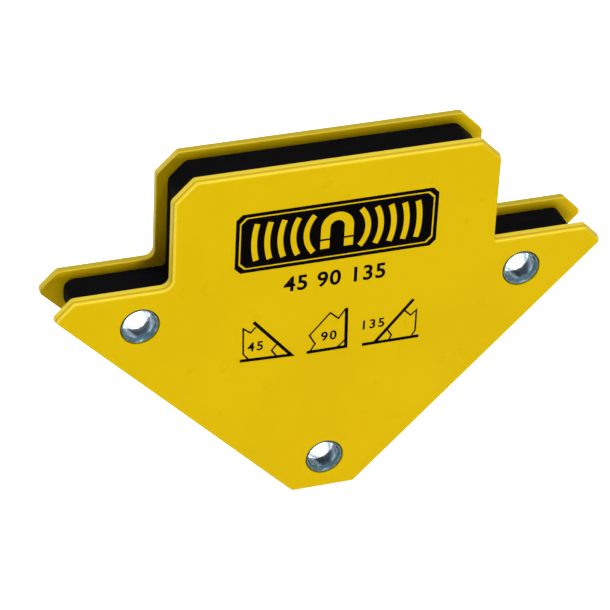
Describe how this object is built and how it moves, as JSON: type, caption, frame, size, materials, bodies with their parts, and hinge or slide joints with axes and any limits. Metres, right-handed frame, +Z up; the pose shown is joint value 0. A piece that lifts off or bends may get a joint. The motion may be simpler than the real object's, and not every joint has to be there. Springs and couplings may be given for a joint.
{
  "type": "welding magnet holder",
  "caption": "Arrow-shaped welding magnet: twin steel plates on a recessed core, right-angled working edges, a rectangular block above and open tubular rivets.",
  "frame": {"origin": "centre of the bounding box's underside, which is the short flat that the arrow points down with, half way through the thickness", "axes": "+X across the width, to the right when facing the printed front plate; +Y through the thickness, from the front plate to the rear plate; +Z up, from the arrow's point to the block's top edge"},
  "size_m": [0.1106, 0.0126, 0.0759],
  "materials": {
    "yellow_powder_coat": "satin",
    "black_moulded_plastic": "satin",
    "ferrite": "matte",
    "zinc_plated_steel": "satin"
  },
  "bodies": {
    "root": {"front_plate": "yellow_powder_coat", "rear_plate": "yellow_powder_coat", "spacer_frame": "black_moulded_plastic", "ferrite_magnet_upper_left": "ferrite", "ferrite_magnet_upper_right": "ferrite", "ferrite_magnet_middle_left": "ferrite", "ferrite_magnet_middle_right": "ferrite", "ferrite_magnet_lower": "ferrite", "rivet_left": "zinc_plated_steel", "rivet_right": "zinc_plated_steel", "rivet_bottom": "zinc_plated_steel"}
  },
  "joints": []
}
